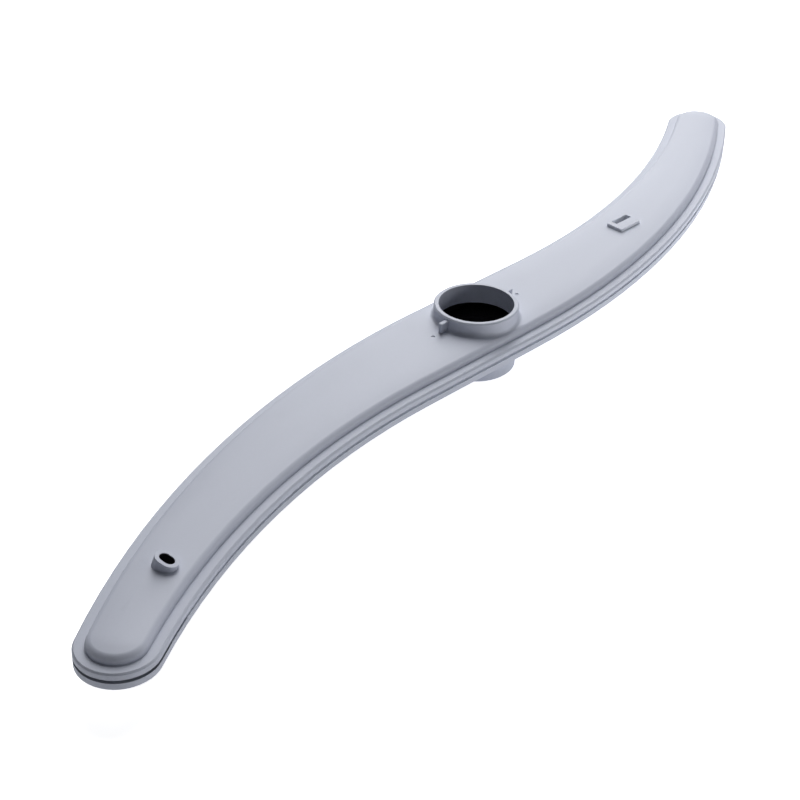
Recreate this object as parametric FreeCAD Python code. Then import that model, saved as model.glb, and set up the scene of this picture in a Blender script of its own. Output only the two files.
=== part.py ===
import FreeCAD, Part
import math
import os
from FreeCAD import Vector

# Dishwasher spray arm: two moulded shells welded along a seam, with a water channel between
# them. The inlet side, with its collar, faces up and the arm stands on the hub below it.
# All sizes are in millimetres.

# Plan of the arm. It is drawn with its middle run along X. Each half leaves the axis straight
# and then bends to its left, and the two halves are one shape turned half a turn.
half_width = 23.4           # axis to either edge, on the middle run
inner_straight = 51.0       # axis to where the inner edge of a bend starts
inner_radius = 317.0        # inner edge of a bend
outer_straight = 11.6       # axis to where the outer edge of a bend starts
outer_radius = 380.5        # outer edge of a bend
end_reach = 229.6           # axis to the centre of the rounded end

# Heights of the two side walls, from the hub's foot up
hub_projection = 10.8       # hub's foot to the jet shell's outer face
jet_wall_height = 3.5       # outer face up to the seam
seam_gap = 1.2              # groove that shows between the two shells
inlet_wall_height = 2.4     # seam up to the flange

# Wall section
wall = 2.0                  # pressure-carrying walls
skirt_wall = 1.5            # outer walls on both sides of the seam
flash_trap = 1.0            # gap between a skirt and the weld rib
weld_width = 2.0            # weld rib on each shell
weld_share = 0.5            # how far down the seam gap the two weld ribs meet

# Raised channel on the inlet side
flange_width = 4.0
channel_height = 3.5        # flange up to the flat top of the channel
channel_edge = 2.4          # rounding of the channel's shoulders
crown_slope = 8.0           # degrees that the top falls by at its shoulders
crown_radius = 50.0         # gentle rounding from the flat top down to that slope
flange_edge = 0.6           # bevel round the flange
jet_edge = 1.2              # bevel round the jet shell's outer face

# Inlet collar
bore_radius = 15.0
collar_wall = 1.9
collar_height = 5.4         # above the channel's top
collar_skirt = 0.2          # bore wall below the channel's inner face
collar_foot = 1.4           # hollow rounding at the collar's foot
rim_edge = 0.5

# Bayonet lugs on the collar's outside
lug_reach = 3.9             # out from the collar's wall
lug_thickness = 1.6
lug_drop = 1.2              # collar's rim down to a lug's top
lug_edge = 0.4

# Gate marks on the channel's top, beyond the lugs
gate_reach = 24.5
gate_radius = 0.8
gate_depth = 0.3

# Hub on the jet side
hub_radius = 16.4
hub_wall = 2.4
hub_edge = 0.8
hub_foot = 1.2              # bevel where the hub meets the outer face

# Leaning oval nozzle on the inlet side, cut square to its own axis
drive_reach = 194.5         # axis to the middle of its foot
drive_bearing = 192.0       # degrees from the middle run
drive_turn = 104.0          # degrees from the middle run to the nozzle's length
drive_lean = 18.0           # degrees off upright
drive_lean_bearing = -50.0  # degrees from the middle run to the side it leans to
drive_length = 8.6
drive_width = 7.1
drive_height = 2.8          # middle of its mouth above the channel's top
drive_slot_length = 5.6
drive_slot_width = 4.2

# Slotted jet on a raised pad on the inlet side
pad_x = 104.7               # middle of the pad, along the middle run
pad_y = 9.5
pad_length = 13.0
pad_width = 8.2
pad_rise = 1.3
pad_corner = 0.6
pad_slot_length = 9.8
pad_slot_width = 3.0
pad_slot_wall = 0.5         # pad left behind the slot and beyond its outer end

# Oval nozzles on the jet side
jets_per_half = 4
first_jet = 60.0            # along the middle of the arm
jet_pitch = 42.0
jet_stagger = 21.0          # the second half's nozzles stand this much further out
jet_length = 9.0
jet_width = 6.0
jet_height = 2.8
jet_spread = 1.0            # how far a nozzle's foot stands out past its mouth all round
jet_slot_length = 4.6
jet_slot_width = 2.2
jet_turn = 28.0             # degrees off square to the arm, to alternate sides

# Worked out from the sizes above
outer_face_z = hub_projection
floor_z = outer_face_z + wall
jet_wall_top_z = outer_face_z + jet_wall_height
skirt_bottom_z = jet_wall_top_z + seam_gap
weld_z = jet_wall_top_z + weld_share * seam_gap
flange_z = skirt_bottom_z + inlet_wall_height
top_z = flange_z + channel_height
rim_z = top_z + collar_height
weld_inset = skirt_wall + flash_trap
collar_radius = bore_radius + collar_wall
inner_centre = Vector(inner_straight, half_width + inner_radius, 0)
outer_centre = Vector(outer_straight, outer_radius - half_width, 0)
middle_straight = (inner_straight + outer_straight) / 2
middle_radius = (inner_radius + outer_radius) / 2

ORIGIN = Vector(0, 0, 0)
UP = Vector(0, 0, 1)
SINK = 1.0                  # how deep a joined feature starts inside the wall that carries it
NEAR = 1e-4                 # lengths closer than this are the same
FULLEST = 0.95              # most of a tip's radius that flange, shoulder and crown may take


def polar(radius, degrees, z=0.0):
    a = math.radians(degrees)
    return Vector(radius * math.cos(a), radius * math.sin(a), z)


def heading(direction):
    return math.degrees(math.atan2(direction.y, direction.x))


def turned(shape, degrees):
    copy = shape.copy()
    copy.rotate(ORIGIN, UP, degrees)
    return copy


def end_centre():
    """Centre of the round that touches both edges of a bend, end_reach from the axis."""
    low, high = 0.0, 45.0
    for _ in range(60):
        middle = (low + high) / 2
        point = polar(end_reach, middle)
        spare = point.distanceToPoint(outer_centre) + point.distanceToPoint(inner_centre)
        if spare > outer_radius + inner_radius:
            low = middle
        else:
            high = middle
    return polar(end_reach, (low + high) / 2)


END = end_centre()
END_RADIUS = outer_radius - END.distanceToPoint(outer_centre)
LEAN = heading(END)
TO_OUTER = (END - outer_centre).normalize()
TO_INNER = (END - inner_centre).normalize()

# The crown's rounding, no larger than the rounded tips leave room for
slope_rise = 1 - math.cos(math.radians(crown_slope))
slope_run = math.sin(math.radians(crown_slope))
crown_room = FULLEST * END_RADIUS - flange_width - channel_edge
crown_fillet = min(crown_radius, channel_edge + crown_room / slope_run)
shoulder_drop = crown_fillet * slope_rise
shoulder_z = top_z - shoulder_drop - channel_edge * (1 - slope_rise)
core_inset = flange_width + channel_edge + (crown_fillet - channel_edge) * slope_run
ceiling_z = top_z - shoulder_drop - wall


def arc_about(centre, start, end):
    """Shorter arc about a centre between two points on its circle."""
    radius = start.distanceToPoint(centre)
    bisector = (start - centre).normalize() + (end - centre).normalize()
    return Part.Arc(start, centre + bisector.normalize() * radius, end).toShape()


def arm_outline(inset, z):
    """Closed outline of the arm, moved in from its edge by inset."""
    ahead = Vector(-TO_OUTER.y, TO_OUTER.x, 0)
    outer_start = Vector(outer_straight, inset - half_width, 0)
    inner_start = Vector(inner_straight, half_width - inset, 0)
    outer_end = outer_centre + TO_OUTER * (outer_radius - inset)
    inner_end = inner_centre + TO_INNER * (inner_radius + inset)
    tip = END + ahead * (END_RADIUS - inset)
    half = [
        arc_about(outer_centre, outer_start, outer_end),
        Part.Arc(outer_end, tip, inner_end).toShape(),
        arc_about(inner_centre, inner_end, inner_start),
        Part.makeLine(inner_start, outer_start.negative()),
    ]
    edges = half + [turned(edge, 180) for edge in half]
    wire = Part.Wire(edges)
    wire.translate(Vector(0, 0, z))
    return wire


def arm_slab(inset, low_z, high_z):
    return Part.Face(arm_outline(inset, low_z)).extrude(Vector(0, 0, high_z - low_z))


def arm_ring(inset, width, low_z, high_z):
    """Wall of the given width that follows the arm's edge all round."""
    return arm_slab(inset, low_z, high_z).cut(arm_slab(inset + width, low_z, high_z))


def swept_round_edge(section):
    """Solid that a section makes when it runs round the arm's edge.

    The section is a face drawn in the XZ plane, with X as the distance in from the edge.
    """
    def placed(point, inward):
        copy = turned(section, heading(inward))
        copy.translate(point)
        return copy

    outer_start = Vector(outer_straight, -half_width, 0)
    inner_start = Vector(inner_straight, half_width, 0)
    outer_turn = heading(TO_OUTER) + 90
    inner_turn = heading(TO_INNER) + 90
    end_turn = heading(TO_INNER) + 180 - heading(TO_OUTER)
    outer_end = END + TO_OUTER * END_RADIUS
    half = [
        placed(outer_start, Vector(0, 1, 0)).revolve(outer_centre, UP, outer_turn),
        placed(outer_end, TO_OUTER.negative()).revolve(END, UP, end_turn),
        placed(inner_start, Vector(0, -1, 0)).revolve(inner_centre, UP, inner_turn),
        placed(inner_start, Vector(0, -1, 0)).extrude(Vector(-inner_straight - outer_straight, 0, 0)),
    ]
    pieces = half + [turned(piece, 180) for piece in half]
    return pieces[0].fuse(pieces[1:])


def edges_at(body, z):
    """Edges that lie in the level plane z."""
    return [e for e in body.Edges
            if abs(e.BoundBox.ZMin - z) < NEAR and abs(e.BoundBox.ZMax - z) < NEAR]


def inlet_section():
    """Section of the inlet shell's outside: flange, side of the channel and its crowned edge."""
    def at(inset, z):
        return Vector(inset, 0, z)

    low = at(0, skirt_bottom_z)
    edge_low = at(0, flange_z - flange_edge)
    edge_high = at(flange_edge, flange_z)
    foot = at(flange_width, flange_z)
    side_high = at(flange_width, shoulder_z)
    round_x = flange_width + channel_edge
    lean = math.radians((90 - crown_slope) / 2)
    round_middle = at(round_x - channel_edge * math.cos(lean), shoulder_z + channel_edge * math.sin(lean))
    round_high = at(round_x - channel_edge * slope_run, shoulder_z + channel_edge * (1 - slope_rise))
    half_slope = math.radians(crown_slope / 2)
    crown_middle = at(core_inset - crown_fillet * math.sin(half_slope),
                      top_z - crown_fillet * (1 - math.cos(half_slope)))
    crown_high = at(core_inset, top_z)
    core_low = at(core_inset, skirt_bottom_z)
    return Part.Face(Part.Wire([
        Part.makeLine(low, edge_low),
        Part.makeLine(edge_low, edge_high),
        Part.makeLine(edge_high, foot),
        Part.makeLine(foot, side_high),
        Part.Arc(side_high, round_middle, round_high).toShape(),
        Part.Arc(round_high, crown_middle, crown_high).toShape(),
        Part.makeLine(crown_high, core_low),
        Part.makeLine(core_low, low),
    ]))


def oval(length, width, z):
    """Slot outline, its length along X."""
    r = width / 2
    x = (length - width) / 2
    wire = Part.Wire([
        Part.makeLine(Vector(-x, -r, 0), Vector(x, -r, 0)),
        Part.Arc(Vector(x, -r, 0), Vector(x + r, 0, 0), Vector(x, r, 0)).toShape(),
        Part.makeLine(Vector(x, r, 0), Vector(-x, r, 0)),
        Part.Arc(Vector(-x, r, 0), Vector(-x - r, 0, 0), Vector(-x, -r, 0)).toShape(),
    ])
    wire.translate(Vector(0, 0, z))
    return wire


def oval_block(length, width, low_z, high_z):
    return Part.Face(oval(length, width, low_z)).extrude(Vector(0, 0, high_z - low_z))


def tapered_oval(length, width, spread, height):
    """Oval boss of the given mouth, wider at its foot, which starts SINK below z = 0."""
    slope = spread / height
    foot = 2 * (spread + slope * SINK)
    return Part.makeLoft([oval(length + foot, width + foot, -SINK), oval(length, width, height)],
                         True, True)


def drive_nozzle():
    """Leaning oval nozzle, and the slot that runs down its axis into the channel."""
    base = polar(drive_reach, drive_bearing, top_z)
    tilt_axis = polar(1, drive_lean_bearing + 90)
    along = drive_height / math.cos(math.radians(drive_lean))
    body = oval_block(drive_length, drive_width, -drive_length, along)
    slot = oval_block(drive_slot_length, drive_slot_width, -2 * wall, along + SINK)
    for shape in (body, slot):
        shape.rotate(ORIGIN, UP, drive_turn)
        shape.rotate(ORIGIN, tilt_axis, drive_lean)
        shape.translate(base)
    reach = 2 * drive_length
    below = Part.makeBox(2 * reach, 2 * reach, reach,
                         Vector(base.x - reach, base.y - reach, top_z - SINK - reach))
    return body.cut(below), slot


def slotted_pad():
    """Low pad, and the slot that opens through it into the channel."""
    low_x = pad_x - pad_length / 2
    low_y = pad_y - pad_width / 2
    pad = Part.makeBox(pad_length, pad_width, pad_rise + SINK, Vector(low_x, low_y, top_z - SINK))
    upright = [e for e in pad.Edges if e.BoundBox.ZLength > SINK]
    pad = pad.makeFillet(pad_corner, upright)
    slot_y = low_y + pad_width - pad_slot_wall - pad_slot_width
    slot_x = low_x + pad_length - pad_slot_wall - pad_slot_length
    slot = Part.makeBox(pad_slot_length, pad_slot_width, wall + pad_rise + 3 * SINK,
                        Vector(slot_x, slot_y, ceiling_z - SINK))
    return pad, slot


def bayonet_lug():
    """Thin radial lug on the collar's outside, along the middle run."""
    start = bore_radius + collar_wall / 2
    reach = collar_radius + lug_reach
    lug_top_z = rim_z - lug_drop
    lug = Part.makeBox(reach - start, lug_thickness, lug_top_z - top_z + SINK,
                       Vector(start, -lug_thickness / 2, top_z - SINK))
    outer = [e for e in lug.Edges
             if e.BoundBox.XMin > reach - lug_edge and e.BoundBox.ZMax > top_z]
    return lug.makeFillet(lug_edge, outer)


def collar_foot_edges(body):
    """Edges where the collar's outside meets the channel's top and shoulders."""
    found = []
    for edge in body.Edges:
        middle = edge.valueAt((edge.FirstParameter + edge.LastParameter) / 2)
        on_wall = abs(math.hypot(middle.x, middle.y) - collar_radius) < NEAR
        if on_wall and flange_z < middle.z < top_z + SINK / 2:
            found.append(edge)
    return found


def inlet_outside():
    """Outer form of the inlet shell, still solid: flange, crowned channel and collar."""
    body = swept_round_edge(inlet_section()).fuse(arm_slab(core_inset, skirt_bottom_z, top_z))
    collar = Part.makeCylinder(collar_radius, rim_z - top_z + SINK, Vector(0, 0, top_z - SINK))
    collar = collar.makeChamfer(rim_edge, edges_at(collar, rim_z))
    body = body.removeSplitter().fuse(collar)
    return body.makeFillet(collar_foot, collar_foot_edges(body))


def inlet_inside():
    """Hollow of the inlet shell: the channel, and the space under the flange."""
    under_flange = arm_slab(skirt_wall, skirt_bottom_z - SINK, flange_z - wall)
    hollow = arm_slab(flange_width + wall, flange_z - wall - SINK, ceiling_z)
    return under_flange.fuse(hollow)


def inlet_shell():
    """Inlet side of the arm: flange, raised channel, collar, lugs and two jets."""
    body = inlet_outside().cut(inlet_inside())
    weld_rib = arm_ring(weld_inset, weld_width, weld_z, flange_z - wall + SINK / 2)
    skirt_z = ceiling_z - collar_skirt
    skirt = Part.makeCylinder(collar_radius, top_z - SINK - skirt_z, Vector(0, 0, skirt_z))
    nozzle, nozzle_slot = drive_nozzle()
    pad, pad_slot = slotted_pad()
    lugs = [bayonet_lug(), turned(bayonet_lug(), 180)]
    body = body.fuse([weld_rib, skirt, nozzle, pad] + lugs)
    bore = Part.makeCylinder(bore_radius, rim_z, Vector(0, 0, skirt_z - SINK))
    gate = Part.makeCylinder(gate_radius, gate_depth + SINK, polar(gate_reach, 0, top_z - gate_depth))
    return body.cut([bore, nozzle_slot, pad_slot, gate, turned(gate, 180)])


def middle_point(run):
    """Place and heading at a distance out along the middle of the first half."""
    if run <= middle_straight:
        return Vector(run, 0, 0), 0.0
    a = (run - middle_straight) / middle_radius
    place = Vector(middle_straight + middle_radius * math.sin(a), middle_radius * (1 - math.cos(a)), 0)
    return place, math.degrees(a)


def jet_places():
    """Place and slot direction of every nozzle on the jet side."""
    places = []
    for half in (0, 1):
        for i in range(jets_per_half):
            place, along = middle_point(first_jet + i * jet_pitch + half * jet_stagger)
            side = 1 if i % 2 else -1
            direction = along + 90 + side * jet_turn
            if half:
                place = place.negative()
                direction += 180
            places.append((place, direction))
    return places


def jets():
    """All the nozzles on the jet side, and the slots through them."""
    bodies, slots = [], []
    for place, direction in jet_places():
        body = tapered_oval(jet_length, jet_width, jet_spread, jet_height)
        slot = oval_block(jet_slot_length, jet_slot_width, -wall - SINK, jet_height + SINK)
        for shape, group in ((body, bodies), (slot, slots)):
            shape.rotate(ORIGIN, Vector(1, 0, 0), 180)
            shape.rotate(ORIGIN, UP, direction)
            shape.translate(place + Vector(0, 0, outer_face_z))
            group.append(shape)
    return bodies, slots


def jet_shell():
    """Jet side of the arm: floor, side walls, weld rib, closed hub and oval nozzles."""
    floor = arm_slab(0, outer_face_z, floor_z)
    floor = floor.makeChamfer(jet_edge, edges_at(floor, outer_face_z))
    hub = Part.makeCylinder(hub_radius, hub_projection + SINK)
    hub = hub.makeChamfer(hub_edge, edges_at(hub, 0))
    body = floor.fuse(hub)
    foot = [e for e in edges_at(body, outer_face_z) if e.BoundBox.XMax < 2 * hub_radius]
    body = body.makeChamfer(hub_foot, foot)
    outer_wall = arm_ring(0, skirt_wall, floor_z - SINK / 2, jet_wall_top_z)
    weld_rib = arm_ring(weld_inset, weld_width, floor_z - SINK / 2, weld_z)
    nozzles, slots = jets()
    body = body.fuse([outer_wall, weld_rib] + nozzles)
    well = Part.makeCylinder(hub_radius - hub_wall, floor_z + SINK, Vector(0, 0, hub_wall))
    return body.cut([well] + slots)


def main():
    os.makedirs("parts", exist_ok=True)
    for name, shape in (("inlet_shell", inlet_shell()), ("jet_shell", jet_shell())):
        solid = turned(shape.removeSplitter(), -LEAN)
        print(name, solid.isValid(), len(solid.Solids), round(solid.Volume), len(solid.Faces))
        solid.exportStep("parts/" + name + ".step")


main()
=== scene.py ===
import math

import bpy
from mathutils import Matrix, Vector

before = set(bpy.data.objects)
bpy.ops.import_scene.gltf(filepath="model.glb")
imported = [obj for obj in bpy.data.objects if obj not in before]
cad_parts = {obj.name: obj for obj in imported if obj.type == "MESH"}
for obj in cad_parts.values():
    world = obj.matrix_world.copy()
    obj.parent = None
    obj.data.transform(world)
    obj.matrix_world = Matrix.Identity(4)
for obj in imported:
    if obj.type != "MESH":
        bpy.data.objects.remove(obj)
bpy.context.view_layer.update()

# Lengths are in metres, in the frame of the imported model: the arm lies along X and stands on
# its hub at z = 0. Bearings are turned from +X about the hub's axis.
FLANGE_HEIGHT = 0.0179          # top of the flange, where the camera was measured from
MIDDLE_RUN = math.radians(-14.434)      # bearing of the straight run through the hub

# Camera. It is set by the point where the hub's axis passes the flange: how far away that
# point is, and how far it stands right of and above the camera's own line of sight.
CAMERA_AZIMUTH = math.radians(-60.378)
CAMERA_ELEVATION = math.radians(32.464)
CAMERA_ROLL = math.radians(1.157)
CAMERA_DEPTH = 0.7166
AXIS_RIGHT = 0.02933
AXIS_UP = 0.0313
CAMERA_LENS = 81.28
SENSOR_WIDTH = 36.0
CLIP_START = 0.05
CLIP_END = 50.0

# Satin grey plastic
PLASTIC_DARK = (0.46, 0.487, 0.573)
PLASTIC_LIGHT = (0.52, 0.549, 0.641)
PLASTIC_ROUGHNESS = 0.55
ROUGHNESS_SPREAD = 0.03
PLASTIC_IOR = 1.49
PLASTIC_SPECULAR = 0.4
GRAIN_SCALE = 1100.0            # grains to a metre
GRAIN_DEPTH = 0.00004
GRAIN_STRENGTH = 0.25
GRAIN_SHARE = 0.25              # how much of the tone's change is grain, the rest being drift
FINE_DETAIL = 3.0
FINE_ROUGHNESS = 0.6
WIDE_SCALE = 0.22               # wide grain, set against the fine
WIDE_HEIGHT = 0.6
WIDE_DETAIL = 2.0
DRIFT_SCALE = (6.0, 22.0, 40.0)     # least along the arm, so that the drift is drawn out
DRIFT_DETAIL = 3.0
NOISE_SPAN = (0.3, 0.7)         # where nearly all of a noise's values lie

# Painted shade: near black in hollows that light hardly reaches
PAINTED_SHADE = (0.012, 0.012, 0.014)
BORE_LOW = 0.0187               # lower end of the collar's bore
HUB_FLOOR = 0.0019              # just under the floor inside the hub
WELL_RADIUS = 0.0145            # a little into the hub's round wall
ARM_FLOOR = 0.0126              # just under the floor of the water channel
ROOM_LENGTH = 0.11              # water channel, from the axis to either side
ROOM_WIDTH = 0.019              # inside the channel's outer sides
LOW_ROOM_WIDTH = 0.02           # the same, below the flange
LOW_ROOM_TOP = 0.0178           # just under the flange's top
SEAM_LOW = 0.01427              # groove between the shells
SEAM_HIGH = 0.01552
TIP_REACH = 0.2296              # axis to the middle of the rounded ends
TIP_RADIUS = 0.0165             # a little beyond the rounded ends' own radius
TIP_SHADE = 0.4                 # how dark the painted shade in the groove is round the ends
NOZZLE_REACH = 0.1945           # axis to the leaning nozzle's foot
NOZZLE_BEARING = math.radians(177.566)
NOZZLE_FOOT = 0.0214            # top of the channel, where the nozzle starts
NOZZLE_LEAN = math.radians(18.0)
NOZZLE_LEAN_AXIS = math.radians(25.566)
NOZZLE_TURN = math.radians(89.566)
NOZZLE_HOLE = (0.0034, 0.0026, 0.0026)      # half sizes of the painted shade inside its mouth

# Painted light: a paler colour along the groove between the shells, short of the tips, and on the
# slotted pad's sides and slot, so that they look lit
PAINTED_LIGHT = (0.81, 0.838, 0.915)
WELD_REACH = 0.205
PAD_REACH = 0.1051              # axis to the pad's middle
PAD_BEARING = math.radians(-9.25)
PAD_SIDES = (0.012, 0.008)
PAD_LOW = 0.02143               # just above the channel's top
PAD_HIGH = 0.02267              # just under the pad's top
SLOT_REACH = 0.10643            # axis to the middle of the pad's slot
SLOT_BEARING = math.radians(-8.18)
SLOT_SIDES = (0.0069, 0.0022)
SLOT_LOW = 0.0189               # inner face of the channel's top

# Stage
FLOOR_SIZE = 8.0
FLOOR_GREY = 0.85
FLOOR_BOUNCE = 0.75             # what the overexposed floor adds to the light from below
FLOOR_DIM = 0.25                # the same, left of the hub
BOUNCE_START = -0.12            # how far right of the hub the dim part ends
BOUNCE_END = 0.16               # how far right of the hub the bright part starts
FLOOR_WHITE = 0.84              # what the floor adds where the camera sees it
WHITE = (1.0, 1.0, 1.0, 1.0)
WORLD_TINT = (0.90, 0.93, 1.0, 1.0)
WORLD_STRENGTH = 0.06


def seen_from_camera(right, away, up):
    """A place given as the camera's operator sees it, standing level: right, away and up."""
    turn = Matrix.Rotation(CAMERA_AZIMUTH, 3, "Z")
    return turn @ Vector((right, away, up))


def deselect_all():
    for piece in bpy.context.selected_objects:
        piece.select_set(False)


def new_material(name):
    """A material with an empty node tree, and its output node."""
    material = bpy.data.materials.new(name)
    material.use_nodes = True
    material.node_tree.nodes.clear()
    output = material.node_tree.nodes.new("ShaderNodeOutputMaterial")
    return material, material.node_tree, output


def group_with_sockets(name, inputs, outputs):
    """A new shader node group. Inputs are (name, kind, default) and outputs are (name, kind)."""
    group = bpy.data.node_groups.new(name, "ShaderNodeTree")
    for label, kind, default in inputs:
        socket = group.interface.new_socket(label, in_out="INPUT", socket_type=kind)
        socket.default_value = default
    for label, kind in outputs:
        group.interface.new_socket(label, in_out="OUTPUT", socket_type=kind)
    return group, group.nodes.new("NodeGroupInput"), group.nodes.new("NodeGroupOutput")


def join(tree, value, socket):
    """Link a socket, or set a plain number."""
    if isinstance(value, (int, float)):
        socket.default_value = value
    else:
        tree.links.new(value, socket)


def noise(tree, vector, scale, detail, roughness=0.5):
    node = tree.nodes.new("ShaderNodeTexNoise")
    node.inputs["Detail"].default_value = detail
    node.inputs["Roughness"].default_value = roughness
    join(tree, vector, node.inputs["Vector"])
    join(tree, scale, node.inputs["Scale"])
    return node.outputs["Fac"]


def math_node(tree, operation, a, b=0.0):
    node = tree.nodes.new("ShaderNodeMath")
    node.operation = operation
    join(tree, a, node.inputs[0])
    join(tree, b, node.inputs[1])
    return node.outputs[0]


def map_range(tree, value, from_low, from_high, to_low, to_high):
    node = tree.nodes.new("ShaderNodeMapRange")
    for label, number in (("From Min", from_low), ("From Max", from_high), ("To Min", to_low),
                          ("To Max", to_high)):
        node.inputs[label].default_value = number
    join(tree, value, node.inputs["Value"])
    return node


def spread(tree, value, low, high):
    """Noise, which keeps near 0.5, stretched to run from low to high."""
    return map_range(tree, value, *NOISE_SPAN, low, high).outputs["Result"]


def mix_colour(tree, factor, first, second):
    """One colour laid over another by a mask. The first may be a socket."""
    node = tree.nodes.new("ShaderNodeMix")
    node.data_type = "RGBA"
    if isinstance(first, tuple):
        node.inputs["A"].default_value = (*first, 1.0)
    else:
        tree.links.new(first, node.inputs["A"])
    node.inputs["B"].default_value = (*second, 1.0)
    tree.links.new(factor, node.inputs["Factor"])
    return node.outputs["Result"]


def mould_grain_group():
    """Fine spark-eroded grain of a steel mould: a height, and the same grain as a mask."""
    group, given, result = group_with_sockets(
        "mould_grain",
        [("Vector", "NodeSocketVector", (0.0, 0.0, 0.0)), ("Scale", "NodeSocketFloat", 1.0)],
        [("Height", "NodeSocketFloat"), ("Mask", "NodeSocketFloat")])
    place, scale = given.outputs["Vector"], given.outputs["Scale"]
    fine = noise(group, place, scale, FINE_DETAIL, FINE_ROUGHNESS)
    wide_scale = math_node(group, "MULTIPLY", scale, WIDE_SCALE)
    wide = noise(group, place, wide_scale, WIDE_DETAIL)
    height = math_node(group, "ADD", fine, math_node(group, "MULTIPLY", wide, WIDE_HEIGHT))
    group.links.new(height, result.inputs["Height"])
    group.links.new(spread(group, fine, 0.0, 1.0), result.inputs["Mask"])
    return group


def tone_drift_group():
    """Mask for a slow drift of a moulding's tone, drawn out along the flow of the melt."""
    group, given, result = group_with_sockets(
        "tone_drift", [("Vector", "NodeSocketVector", (0.0, 0.0, 0.0))],
        [("Mask", "NodeSocketFloat")])
    stretch = group.nodes.new("ShaderNodeMapping")
    stretch.inputs["Scale"].default_value = DRIFT_SCALE
    group.links.new(given.outputs["Vector"], stretch.inputs["Vector"])
    drift = noise(group, stretch.outputs["Vector"], 1.0, DRIFT_DETAIL)
    group.links.new(spread(group, drift, 0.0, 1.0), result.inputs["Mask"])
    return group


def oval_place_group():
    """Mask of what lies in an oval shaft, given its middle, turn, half sizes and strength."""
    group, given, result = group_with_sockets(
        "oval_place",
        [("Vector", "NodeSocketVector", (0.0, 0.0, 0.0)),
         ("Middle", "NodeSocketVector", (0.0, 0.0, 0.0)),
         ("Turn", "NodeSocketVector", (0.0, 0.0, 0.0)),
         ("Half Size", "NodeSocketVector", (1.0, 1.0, 1.0)),
         ("Strength", "NodeSocketFloat", 1.0)],
        [("Mask", "NodeSocketFloat")])
    inward = group.nodes.new("ShaderNodeMapping")
    inward.vector_type = "TEXTURE"
    for source, target in (("Vector", "Vector"), ("Middle", "Location"), ("Turn", "Rotation"),
                           ("Half Size", "Scale")):
        group.links.new(given.outputs[source], inward.inputs[target])
    split = group.nodes.new("ShaderNodeSeparateXYZ")
    group.links.new(inward.outputs["Vector"], split.inputs["Vector"])
    along = math_node(group, "MULTIPLY", split.outputs["X"], split.outputs["X"])
    across = math_node(group, "MULTIPLY", split.outputs["Y"], split.outputs["Y"])
    in_oval = math_node(group, "LESS_THAN", math_node(group, "ADD", along, across), 1.0)
    height = math_node(group, "ABSOLUTE", split.outputs["Z"])
    in_height = math_node(group, "LESS_THAN", height, 1.0)
    inside = math_node(group, "MULTIPLY", in_oval, in_height)
    group.links.new(math_node(group, "MULTIPLY", inside, given.outputs["Strength"]),
                    result.inputs["Mask"])
    return group


def upright_place(reach, bearing, turn, sides, low, high, strength=1.0):
    """Middle, turn, half sizes and strength of an upright oval shaft."""
    middle = (reach * math.cos(bearing), reach * math.sin(bearing), (low + high) / 2)
    return middle, (0, 0, turn), (*sides, (high - low) / 2), strength


def nozzle_hole():
    """The same for the mouth of the leaning nozzle."""
    foot = (NOZZLE_REACH * math.cos(NOZZLE_BEARING), NOZZLE_REACH * math.sin(NOZZLE_BEARING),
            NOZZLE_FOOT)
    lean_axis = Vector((math.cos(NOZZLE_LEAN_AXIS), math.sin(NOZZLE_LEAN_AXIS), 0))
    lean = Matrix.Rotation(NOZZLE_LEAN, 3, lean_axis)
    turn = (lean @ Matrix.Rotation(NOZZLE_TURN, 3, "Z")).to_euler()
    return foot, tuple(turn), NOZZLE_HOLE, 1.0


def painted_shade_places():
    """Hollows that light hardly reaches, where shade is painted near black."""
    tip_sides = (TIP_RADIUS, TIP_RADIUS)
    return [upright_place(0, 0, 0, (WELL_RADIUS, WELL_RADIUS), HUB_FLOOR, BORE_LOW),
            upright_place(0, 0, MIDDLE_RUN, (ROOM_LENGTH, ROOM_WIDTH), ARM_FLOOR, BORE_LOW),
            upright_place(0, 0, MIDDLE_RUN, (ROOM_LENGTH, LOW_ROOM_WIDTH), ARM_FLOOR, LOW_ROOM_TOP),
            upright_place(TIP_REACH, 0, 0, tip_sides, SEAM_LOW, SEAM_HIGH, TIP_SHADE),
            upright_place(-TIP_REACH, 0, 0, tip_sides, SEAM_LOW, SEAM_HIGH, TIP_SHADE),
            nozzle_hole()]


def painted_light_places():
    """Places where light is painted as a paler colour."""
    return [upright_place(0, 0, 0, (WELD_REACH, WELD_REACH), SEAM_LOW, SEAM_HIGH),
            upright_place(PAD_REACH, PAD_BEARING, MIDDLE_RUN, PAD_SIDES, PAD_LOW, PAD_HIGH),
            upright_place(SLOT_REACH, SLOT_BEARING, MIDDLE_RUN, SLOT_SIDES, SLOT_LOW, PAD_HIGH)]


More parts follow.
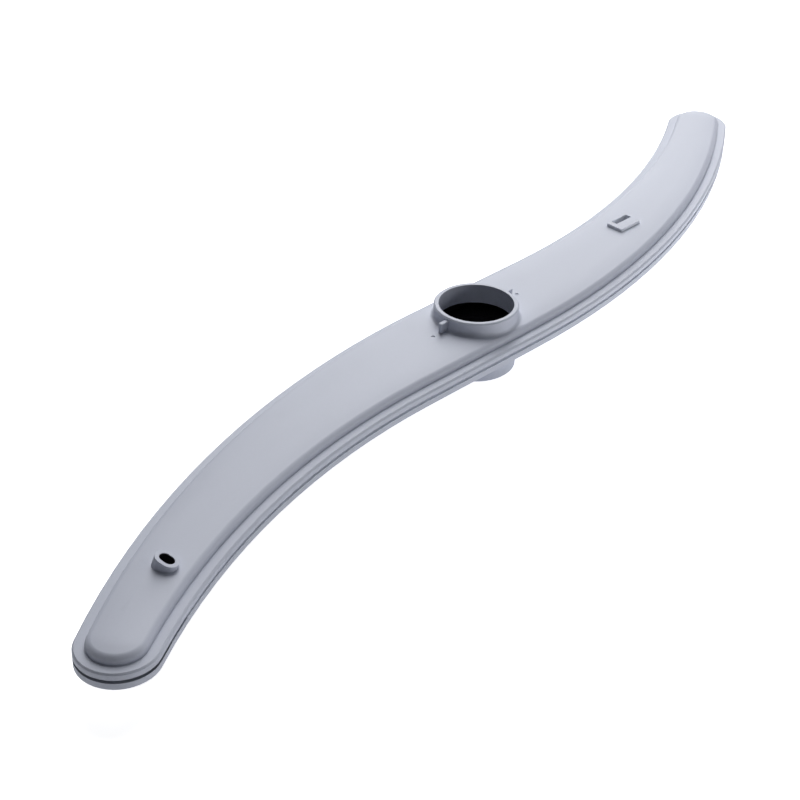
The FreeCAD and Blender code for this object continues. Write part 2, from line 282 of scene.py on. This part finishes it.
def grey_plastic():
    """Satin grey moulded plastic."""
    material, tree, output = new_material("grey_plastic")
    nodes, links = tree.nodes, tree.links
    place = nodes.new("ShaderNodeTexCoord").outputs["Object"]
    place_group = oval_place_group()

    def from_group(group):
        node = nodes.new("ShaderNodeGroup")
        node.node_tree = group
        links.new(place, node.inputs["Vector"])
        return node

    def mask_of(places):
        """Mask of all that lies in any of the places."""
        mask = 0.0
        for values in places:
            node = from_group(place_group)
            for label, value in zip(("Middle", "Turn", "Half Size", "Strength"), values):
                node.inputs[label].default_value = value
            mask = math_node(tree, "MAXIMUM", mask, node.outputs["Mask"])
        return mask

    grain = from_group(mould_grain_group())
    grain.inputs["Scale"].default_value = GRAIN_SCALE
    drift = from_group(tone_drift_group())
    shade = math_node(tree, "ADD",
                      math_node(tree, "MULTIPLY", grain.outputs["Mask"], GRAIN_SHARE),
                      math_node(tree, "MULTIPLY", drift.outputs["Mask"], 1 - GRAIN_SHARE))
    colour = mix_colour(tree, shade, PLASTIC_DARK, PLASTIC_LIGHT)
    # Painted light: paler colour along the groove between the shells and on the slotted pad's sides
    # and slot
    colour = mix_colour(tree, mask_of(painted_light_places()), colour, PAINTED_LIGHT)
    # Painted shade: near black in the bore, the hub's well, the water channel, the groove round the
    # ends and the nozzle's mouth
    colour = mix_colour(tree, mask_of(painted_shade_places()), colour, PAINTED_SHADE)
    bump = nodes.new("ShaderNodeBump")
    bump.inputs["Strength"].default_value = GRAIN_STRENGTH
    bump.inputs["Distance"].default_value = GRAIN_DEPTH
    links.new(grain.outputs["Height"], bump.inputs["Height"])
    shader = nodes.new("ShaderNodeBsdfPrincipled")
    shader.inputs["IOR"].default_value = PLASTIC_IOR
    shader.inputs["Specular IOR Level"].default_value = PLASTIC_SPECULAR
    links.new(colour, shader.inputs["Base Color"])
    links.new(spread(tree, grain.outputs["Mask"], PLASTIC_ROUGHNESS - ROUGHNESS_SPREAD,
                     PLASTIC_ROUGHNESS + ROUGHNESS_SPREAD), shader.inputs["Roughness"])
    links.new(bump.outputs["Normal"], shader.inputs["Normal"])
    links.new(shader.outputs["BSDF"], output.inputs["Surface"])
    return material


def floor_material():
    """Pale floor that looks white to the camera, keeps shadows and is open from below."""
    material, tree, output = new_material("pale_floor")
    nodes, links = tree.nodes, tree.links
    matte = nodes.new("ShaderNodeBsdfDiffuse")
    matte.inputs["Color"].default_value = (FLOOR_GREY, FLOOR_GREY, FLOOR_GREY, 1.0)
    glow = nodes.new("ShaderNodeEmission")
    glow.inputs["Color"].default_value = WHITE
    path = nodes.new("ShaderNodeLightPath")
    rightward = nodes.new("ShaderNodeVectorMath")
    rightward.operation = "DOT_PRODUCT"
    rightward.inputs[1].default_value = seen_from_camera(1, 0, 0)
    links.new(nodes.new("ShaderNodeTexCoord").outputs["Object"], rightward.inputs[0])
    bounce = map_range(tree, rightward.outputs["Value"], BOUNCE_START, BOUNCE_END, FLOOR_DIM,
                       FLOOR_BOUNCE)
    bounce.interpolation_type = "SMOOTHSTEP"
    strength = nodes.new("ShaderNodeMix")
    strength.inputs["B"].default_value = FLOOR_WHITE
    links.new(bounce.outputs["Result"], strength.inputs["A"])
    links.new(path.outputs["Is Camera Ray"], strength.inputs["Factor"])
    links.new(strength.outputs["Result"], glow.inputs["Strength"])
    lit = nodes.new("ShaderNodeAddShader")
    links.new(matte.outputs["BSDF"], lit.inputs[0])
    links.new(glow.outputs["Emission"], lit.inputs[1])
    clear = nodes.new("ShaderNodeBsdfTransparent")
    underside = nodes.new("ShaderNodeNewGeometry").outputs["Backfacing"]
    from_below = math_node(tree, "MULTIPLY", underside, path.outputs["Is Camera Ray"])
    choice = nodes.new("ShaderNodeMixShader")
    links.new(from_below, choice.inputs["Fac"])
    links.new(lit.outputs["Shader"], choice.inputs[1])
    links.new(clear.outputs["BSDF"], choice.inputs[2])
    links.new(choice.outputs["Shader"], output.inputs["Surface"])
    return material


def make_floor():
    deselect_all()
    bpy.ops.mesh.primitive_plane_add(size=FLOOR_SIZE, location=(0, 0, 0))
    floor = bpy.context.object
    floor.name = "floor"
    floor.data.materials.append(floor_material())


def make_world():
    """Faint even studio light, white where the camera sees it."""
    world = bpy.data.worlds.new("studio")
    bpy.context.scene.world = world
    world.use_nodes = True
    nodes, links = world.node_tree.nodes, world.node_tree.links
    nodes.clear()
    output = nodes.new("ShaderNodeOutputWorld")
    seen = nodes.new("ShaderNodeBackground")
    seen.inputs["Color"].default_value = WHITE
    around = nodes.new("ShaderNodeBackground")
    around.inputs["Color"].default_value = WORLD_TINT
    around.inputs["Strength"].default_value = WORLD_STRENGTH
    choice = nodes.new("ShaderNodeMixShader")
    links.new(nodes.new("ShaderNodeLightPath").outputs["Is Camera Ray"], choice.inputs["Fac"])
    links.new(around.outputs["Background"], choice.inputs[1])
    links.new(seen.outputs["Background"], choice.inputs[2])
    links.new(choice.outputs["Shader"], output.inputs["Surface"])


def softbox(name, right, away, up, size, power):
    """Square area lamp that faces the hub. Its place is given as the camera sees it."""
    place = seen_from_camera(right, away, up)
    data = bpy.data.lights.new(name, "AREA")
    data.shape = "SQUARE"
    data.size = size
    data.energy = power
    lamp = bpy.data.objects.new(name, data)
    lamp.location = place
    lamp.rotation_euler = (-place).to_track_quat("-Z", "Y").to_euler()
    bpy.context.scene.collection.objects.link(lamp)


def make_lights():
    softbox("back_softbox", right=0.1, away=2.0, up=0.95, size=1.3, power=29.0)
    softbox("top_softbox", right=0.0, away=0.85, up=1.3, size=0.9, power=14.5)
    softbox("side_softbox", right=1.1, away=-0.1, up=0.18, size=0.34, power=3.0)
    softbox("front_softbox", right=-0.4, away=-1.0, up=1.4, size=0.8, power=1.2)


def make_camera():
    data = bpy.data.cameras.new("camera")
    data.lens = CAMERA_LENS
    data.sensor_width = SENSOR_WIDTH
    data.clip_start = CLIP_START
    data.clip_end = CLIP_END
    right = seen_from_camera(1, 0, 0)
    back = seen_from_camera(0, -math.cos(CAMERA_ELEVATION), math.sin(CAMERA_ELEVATION))
    up = back.cross(right)
    axis_point = Vector((0, 0, FLANGE_HEIGHT))
    place = axis_point + back * CAMERA_DEPTH - right * AXIS_RIGHT - up * AXIS_UP
    level = Matrix((right, up, back)).transposed()
    turn = level @ Matrix.Rotation(CAMERA_ROLL, 3, "Z")
    camera = bpy.data.objects.new("camera", data)
    camera.matrix_world = Matrix.Translation(place) @ turn.to_4x4()
    bpy.context.scene.collection.objects.link(camera)
    bpy.context.scene.camera = camera


def dress_shells():
    finish = grey_plastic()
    for name in ("inlet_shell", "jet_shell"):
        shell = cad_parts[name]
        shell.data.materials.clear()
        shell.data.materials.append(finish)


make_floor()
make_world()
make_lights()
make_camera()
dress_shells()

bpy.context.scene.view_settings.view_transform = "Standard"
